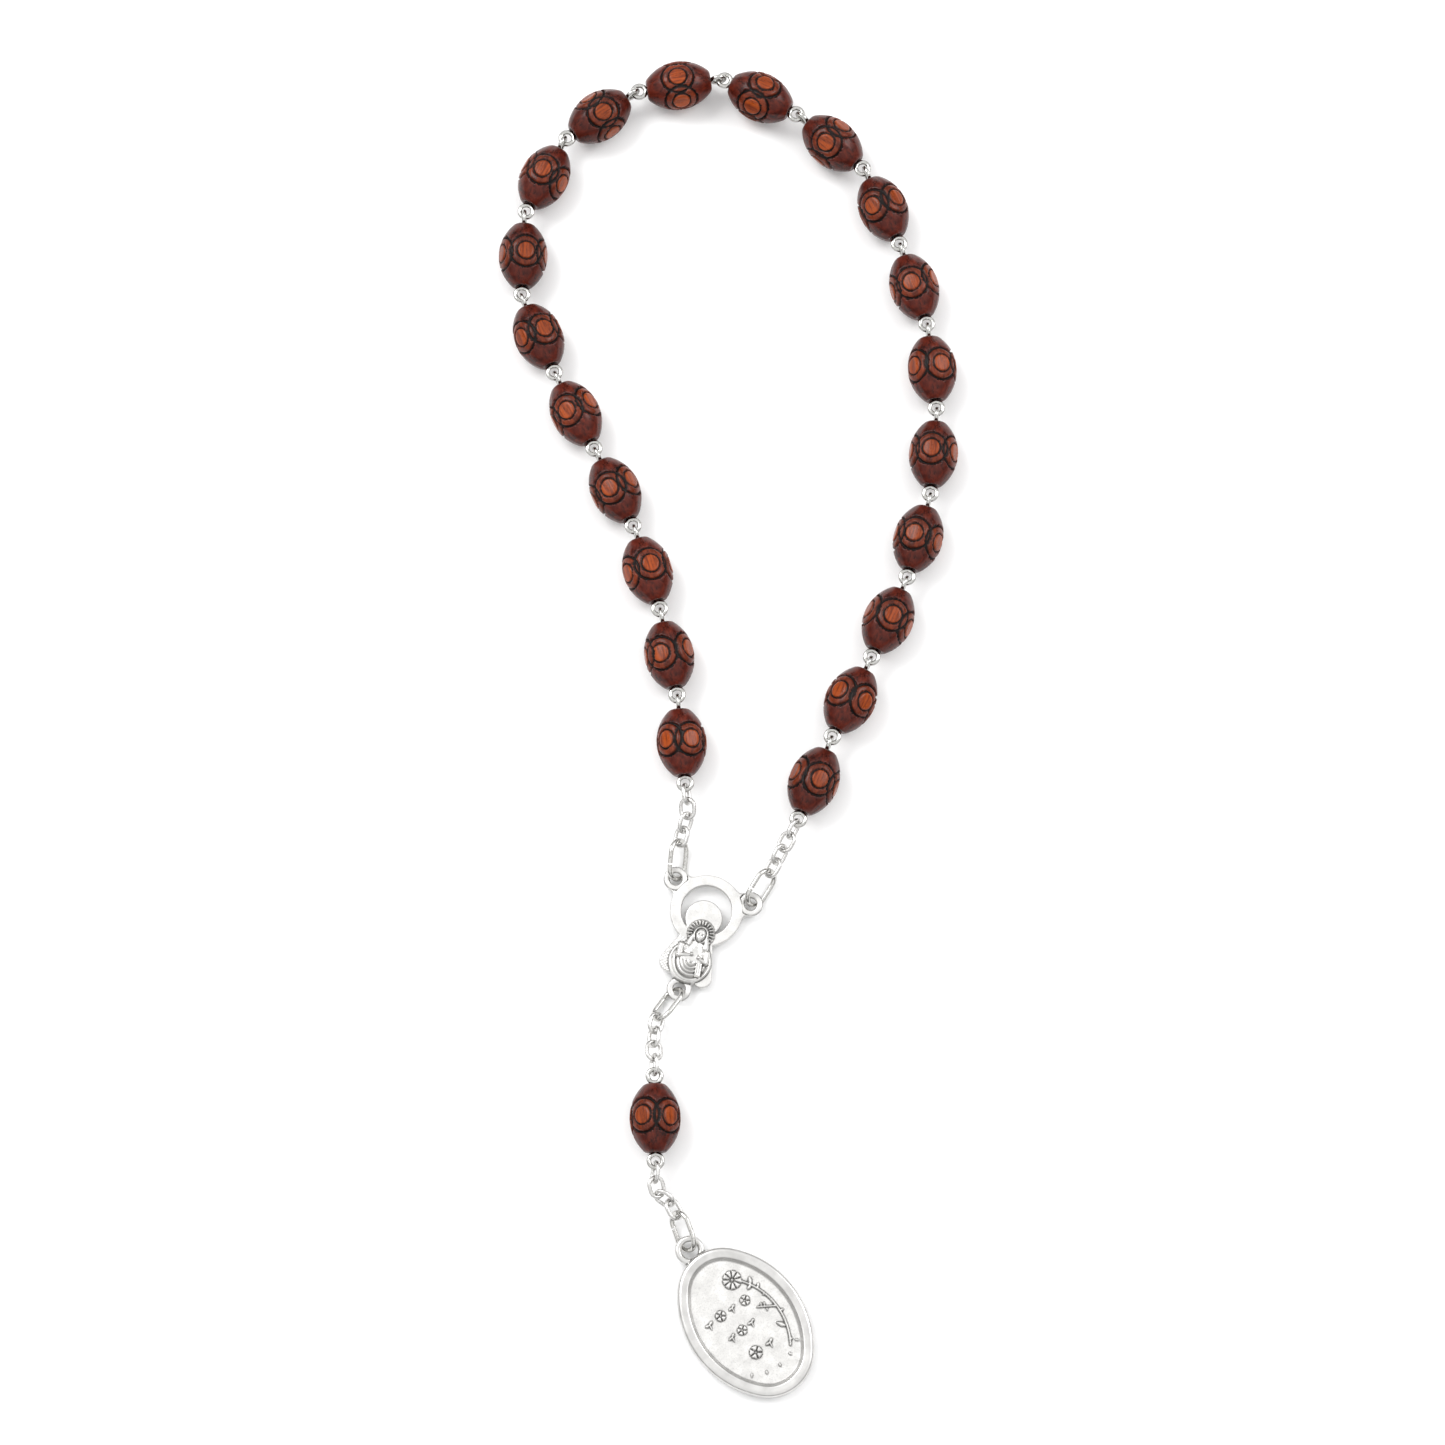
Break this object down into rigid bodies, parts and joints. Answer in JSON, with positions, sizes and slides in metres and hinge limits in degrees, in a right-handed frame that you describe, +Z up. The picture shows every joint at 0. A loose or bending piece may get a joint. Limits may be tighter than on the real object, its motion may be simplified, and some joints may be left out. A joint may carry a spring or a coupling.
{
  "type": "rosary",
  "caption": "Chaplet rosary of carved dark wooden beads on silver wire pins, with a round pierced centrepiece, cable-chain runs and an oval flower medal",
  "frame": {"origin": "on the table, under the middle of the laid-out rosary's bounding box", "axes": "+Z up from the table, +Y from the medal towards the top of the loop, +X to the right as seen from above"},
  "size_m": [0.056, 0.164, 0.006],
  "materials": {
    "bead_wood": "carved wood, stained dark red-brown, satin lacquer",
    "pin_wire": "bright silver-plated round wire",
    "ring_wire": "bright silver-plated round wire",
    "chain_link": "soft white silver plating",
    "cast_silver": "cast metal, silver plated, darkened in its recesses"
  },
  "bodies": {
    "centrepiece": {"centrepiece": "cast_silver"},
    "medal": {"medal": "cast_silver"},
    "pendant_jump_ring": {"pendant_jump_ring": "ring_wire"},
    "pendant_link_1": {"pendant_link_1": "chain_link"},
    "pendant_links_2_3": {"pendant_links_2_3": "chain_link"},
    "pendant_link_4": {"pendant_link_4": "chain_link"},
    "medal_jump_ring": {"medal_jump_ring": "ring_wire"},
    "medal_link_1": {"medal_link_1": "chain_link"},
    "medal_links_2_3": {"medal_links_2_3": "chain_link"},
    "medal_link_4": {"medal_link_4": "chain_link"},
    "jump_rings": {"left_jump_ring": "ring_wire", "right_jump_ring": "ring_wire"},
    "links_1": {"left_link_1": "chain_link", "right_link_1": "chain_link"},
    "links_2_3": {"left_links_2_3": "chain_link", "right_links_2_3": "chain_link"},
    "links_4": {"left_link_4": "chain_link", "right_link_4": "chain_link"},
    "pins_1": {"left_pin_1": "pin_wire", "right_pin_1": "pin_wire"},
    "pins_2": {"left_pin_2": "pin_wire", "right_pin_2": "pin_wire"},
    "pins_3": {"left_pin_3": "pin_wire", "right_pin_3": "pin_wire"},
    "pins_4": {"left_pin_4": "pin_wire", "right_pin_4": "pin_wire"},
    "pins_5": {"left_pin_5": "pin_wire", "right_pin_5": "pin_wire"},
    "pins_6": {"left_pin_6": "pin_wire", "right_pin_6": "pin_wire"},
    "pins_7": {"left_pin_7": "pin_wire", "right_pin_7": "pin_wire"},
    "pins_8": {"left_pin_8": "pin_wire", "right_pin_8": "pin_wire"},
    "pins_9": {"left_pin_9": "pin_wire", "right_pin_9": "pin_wire"},
    "pins_10": {"left_pin_10": "pin_wire", "right_pin_10": "pin_wire"},
    "pendant_pin": {"pendant_pin": "pin_wire"},
    "pendant_bead": {"pendant_bead": "bead_wood"},
    "left_bead_1": {"left_bead_1": "bead_wood"},
    "left_bead_2": {"left_bead_2": "bead_wood"},
    "left_bead_3": {"left_bead_3": "bead_wood"},
    "left_bead_4": {"left_bead_4": "bead_wood"},
    "left_bead_5": {"left_bead_5": "bead_wood"},
    "left_bead_6": {"left_bead_6": "bead_wood"},
    "left_bead_7": {"left_bead_7": "bead_wood"},
    "left_bead_8": {"left_bead_8": "bead_wood"},
    "left_bead_9": {"left_bead_9": "bead_wood"},
    "left_bead_10": {"left_bead_10": "bead_wood"},
    "right_bead_1": {"right_bead_1": "bead_wood"},
    "right_bead_2": {"right_bead_2": "bead_wood"},
    "right_bead_3": {"right_bead_3": "bead_wood"},
    "right_bead_4": {"right_bead_4": "bead_wood"},
    "right_bead_5": {"right_bead_5": "bead_wood"},
    "right_bead_6": {"right_bead_6": "bead_wood"},
    "right_bead_7": {"right_bead_7": "bead_wood"},
    "right_bead_8": {"right_bead_8": "bead_wood"},
    "right_bead_9": {"right_bead_9": "bead_wood"},
    "right_bead_10": {"right_bead_10": "bead_wood"}
  },
  "joints": [
    {"name": "pins_1_fold", "type": "hinge", "parent": "links_4", "child": "pins_1", "pos_m": [-0.00492, -0.01086, 0.003], "axis": [0.9495, -0.3137, 0], "range_deg": [-30, 45]},
    {"name": "pins_6_fold", "type": "hinge", "parent": "pins_5", "child": "pins_6", "pos_m": [-0.02076, 0.04066, 0.003], "axis": [-0.995, 0.1, 0], "range_deg": [-55, 55]},
    {"name": "medal_swing", "type": "hinge", "parent": "medal_jump_ring", "child": "medal", "pos_m": [-0.00436, -0.06515, 0.00124], "axis": [0, 0, 1], "range_deg": [-40, 45]},
    {"name": "pendant_pin_swing", "type": "hinge", "parent": "pendant_link_4", "child": "pendant_pin", "pos_m": [-0.0085, -0.04429, 0.003], "axis": [0.9998, 0.0175, 0], "range_deg": [-75, 75]},
    {"name": "pendant_jump_ring_swing", "type": "hinge", "parent": "centrepiece", "child": "pendant_jump_ring", "pos_m": [-0.00568, -0.03453, 0.00119], "axis": [0.809, -0.5878, 0], "range_deg": [-6, 25]},
    {"name": "jump_rings_fold", "type": "hinge", "parent": "centrepiece", "child": "jump_rings", "pos_m": [-0.00607, -0.02129, 0.00119], "axis": [0.9455, -0.3256, 0], "range_deg": [-25, 6]},
    {"name": "left_bead_5_spin", "type": "hinge", "parent": "pins_5", "child": "left_bead_5", "pos_m": [-0.01841, 0.03609, 0.003], "axis": [-0.454, 0.891, 0], "continuous": true},
    {"name": "pendant_bead_spin", "type": "hinge", "parent": "pendant_pin", "child": "pendant_bead", "pos_m": [-0.00839, -0.05006, 0.003], "axis": [0.0175, -0.9998, 0], "continuous": true},
    {"name": "links_1_fold", "type": "hinge", "parent": "jump_rings", "child": "links_1", "pos_m": [-0.00572, -0.01743, 0.0019], "axis": [-0.9457, 0.325, 0], "range_deg": [-20, 20]},
    {"name": "links_2_3_fold", "type": "hinge", "parent": "links_1", "child": "links_2_3", "pos_m": [-0.00529, -0.01578, 0.00212], "axis": [0.9449, -0.3274, 0], "range_deg": [-25, 25]},
    {"name": "links_4_fold", "type": "hinge", "parent": "links_2_3", "child": "links_4", "pos_m": [-0.0047, -0.01253, 0.00291], "axis": [-0.9461, 0.324, 0], "range_deg": [-20, 20]},
    {"name": "pins_2_fold", "type": "hinge", "parent": "pins_1", "child": "pins_2", "pos_m": [-0.00584, 0.00001, 0.003], "axis": [-0.9628, 0.2701, 0], "range_deg": [-60, 60]},
    {"name": "pins_3_fold", "type": "hinge", "parent": "pins_2", "child": "pins_3", "pos_m": [-0.00788, 0.01071, 0.003], "axis": [0.9723, -0.2336, 0], "range_deg": [-55, 55]},
    {"name": "pins_4_fold", "type": "hinge", "parent": "pins_3", "child": "pins_4", "pos_m": [-0.01102, 0.02115, 0.003], "axis": [-0.9807, 0.1954, 0], "range_deg": [-50, 50]},
    {"name": "pins_5_fold", "type": "hinge", "parent": "pins_4", "child": "pins_5", "pos_m": [-0.01579, 0.03095, 0.003], "axis": [0.9898, -0.1426, 0], "range_deg": [-50, 50]},
    {"name": "pins_7_fold", "type": "hinge", "parent": "pins_6", "child": "pins_7", "pos_m": [-0.02515, 0.05065, 0.003], "axis": [0.9971, -0.0757, 0], "range_deg": [-70, 70]},
    {"name": "pins_8_fold", "type": "hinge", "parent": "pins_7", "child": "pins_8", "pos_m": [-0.0251, 0.06157, 0.003], "axis": [-0.9958, 0.0911, 0], "range_deg": [-60, 60]},
    {"name": "pins_9_fold", "type": "hinge", "parent": "pins_8", "child": "pins_9", "pos_m": [-0.02045, 0.07145, 0.003], "axis": [0.9943, -0.1063, 0], "range_deg": [-35, 35]},
    {"name": "pins_10_fold", "type": "hinge", "parent": "pins_9", "child": "pins_10", "pos_m": [-0.01169, 0.07799, 0.003], "axis": [-0.9884, 0.1517, 0], "range_deg": [-20, 20]},
    {"name": "left_bead_1_spin", "type": "hinge", "parent": "pins_1", "child": "left_bead_1", "pos_m": [-0.00542, -0.00511, 0.003], "axis": [-0.0872, 0.9962, 0], "continuous": true},
    {"name": "left_bead_2_spin", "type": "hinge", "parent": "pins_2", "child": "left_bead_2", "pos_m": [-0.00694, 0.00567, 0.003], "axis": [-0.1908, 0.9816, 0], "continuous": true},
    {"name": "left_bead_3_spin", "type": "hinge", "parent": "pins_3", "child": "left_bead_3", "pos_m": [-0.00957, 0.01623, 0.003], "axis": [-0.2924, 0.9563, 0], "continuous": true},
    {"name": "left_bead_4_spin", "type": "hinge", "parent": "pins_4", "child": "left_bead_4", "pos_m": [-0.01355, 0.02634, 0.003], "axis": [-0.4384, 0.8988, 0], "continuous": true},
    {"name": "left_bead_6_spin", "type": "hinge", "parent": "pins_6", "child": "left_bead_6", "pos_m": [-0.02302, 0.04597, 0.003], "axis": [-0.3907, 0.9205, 0], "continuous": true},
    {"name": "left_bead_7_spin", "type": "hinge", "parent": "pins_7", "child": "left_bead_7", "pos_m": [-0.02505, 0.05642, 0.003], "axis": [0.0175, 0.9998, 0], "continuous": true},
    {"name": "left_bead_8_spin", "type": "hinge", "parent": "pins_8", "child": "left_bead_8", "pos_m": [-0.02257, 0.06675, 0.003], "axis": [0.4384, 0.8988, 0], "continuous": true},
    {"name": "left_bead_9_spin", "type": "hinge", "parent": "pins_9", "child": "left_bead_9", "pos_m": [-0.01578, 0.07484, 0.003], "axis": [0.809, 0.5878, 0], "continuous": true},
    {"name": "left_bead_10_spin", "type": "hinge", "parent": "pins_10", "child": "left_bead_10", "pos_m": [-0.006, 0.07894, 0.003], "axis": [0.9864, 0.1646, 0], "continuous": true},
    {"name": "right_bead_1_spin", "type": "hinge", "parent": "pins_1", "child": "right_bead_1", "pos_m": [0.01028, -0.00981, 0.003], "axis": [0.3746, 0.9272, 0], "continuous": true},
    {"name": "right_bead_2_spin", "type": "hinge", "parent": "pins_2", "child": "right_bead_2", "pos_m": [0.01471, 0.00014, 0.003], "axis": [0.4384, 0.8988, 0], "continuous": true},
    {"name": "right_bead_3_spin", "type": "hinge", "parent": "pins_3", "child": "right_bead_3", "pos_m": [0.01932, 0.01002, 0.003], "axis": [0.4067, 0.9135, 0], "continuous": true},
    {"name": "right_bead_4_spin", "type": "hinge", "parent": "pins_4", "child": "right_bead_4", "pos_m": [0.02304, 0.02023, 0.003], "axis": [0.2756, 0.9613, 0], "continuous": true},
    {"name": "right_bead_5_spin", "type": "hinge", "parent": "pins_5", "child": "right_bead_5", "pos_m": [0.02501, 0.0309, 0.003], "axis": [0.0872, 0.9962, 0], "continuous": true},
    {"name": "right_bead_6_spin", "type": "hinge", "parent": "pins_6", "child": "right_bead_6", "pos_m": [0.02501, 0.04175, 0.003], "axis": [-0.0872, 0.9962, 0], "continuous": true},
    {"name": "right_bead_7_spin", "type": "hinge", "parent": "pins_7", "child": "right_bead_7", "pos_m": [0.02295, 0.05239, 0.003], "axis": [-0.2924, 0.9563, 0], "continuous": true},
    {"name": "right_bead_8_spin", "type": "hinge", "parent": "pins_8", "child": "right_bead_8", "pos_m": [0.01922, 0.06262, 0.003], "axis": [-0.3907, 0.9205, 0], "continuous": true},
    {"name": "right_bead_9_spin", "type": "hinge", "parent": "pins_9", "child": "right_bead_9", "pos_m": [0.01305, 0.07127, 0.003], "axis": [-0.7431, 0.6691, 0], "continuous": true},
    {"name": "right_bead_10_spin", "type": "hinge", "parent": "pins_10", "child": "right_bead_10", "pos_m": [0.00414, 0.07738, 0.003], "axis": [-0.8916, 0.4528, 0], "continuous": true},
    {"name": "pendant_link_1_swing", "type": "hinge", "parent": "pendant_jump_ring", "child": "pendant_link_1", "pos_m": [-0.00807, -0.03761, 0.0019], "axis": [0, 0, 1], "range_deg": [-30, 15]},
    {"name": "pendant_links_2_3_swing", "type": "hinge", "parent": "pendant_link_1", "child": "pendant_links_2_3", "pos_m": [-0.00854, -0.03925, 0.00212], "axis": [-0.9994, 0.0349, 0], "range_deg": [-30, 25]},
    {"name": "pendant_link_4_swing", "type": "hinge", "parent": "pendant_links_2_3", "child": "pendant_link_4", "pos_m": [-0.00856, -0.0426, 0.00291], "axis": [0, 0, -1], "range_deg": [-50, 60]},
    {"name": "medal_link_4_swing", "type": "hinge", "parent": "pendant_pin", "child": "medal_link_4", "pos_m": [-0.00828, -0.05522, 0.00304], "axis": [0, 0, 1], "range_deg": [-75, 75]},
    {"name": "medal_links_2_3_swing", "type": "hinge", "parent": "medal_link_4", "child": "medal_links_2_3", "pos_m": [-0.00849, -0.05695, 0.00302], "axis": [0.9659, 0.2588, 0], "range_deg": [-60, 60]},
    {"name": "medal_link_1_swing", "type": "hinge", "parent": "medal_links_2_3", "child": "medal_link_1", "pos_m": [-0.00677, -0.05951, 0.00225], "axis": [0, 0, -1], "range_deg": [-35, 15]},
    {"name": "medal_jump_ring_swing", "type": "hinge", "parent": "medal_link_1", "child": "medal_jump_ring", "pos_m": [-0.0059, -0.06091, 0.00204], "axis": [-0.9397, -0.342, 0], "range_deg": [-30, 35]}
  ]
}
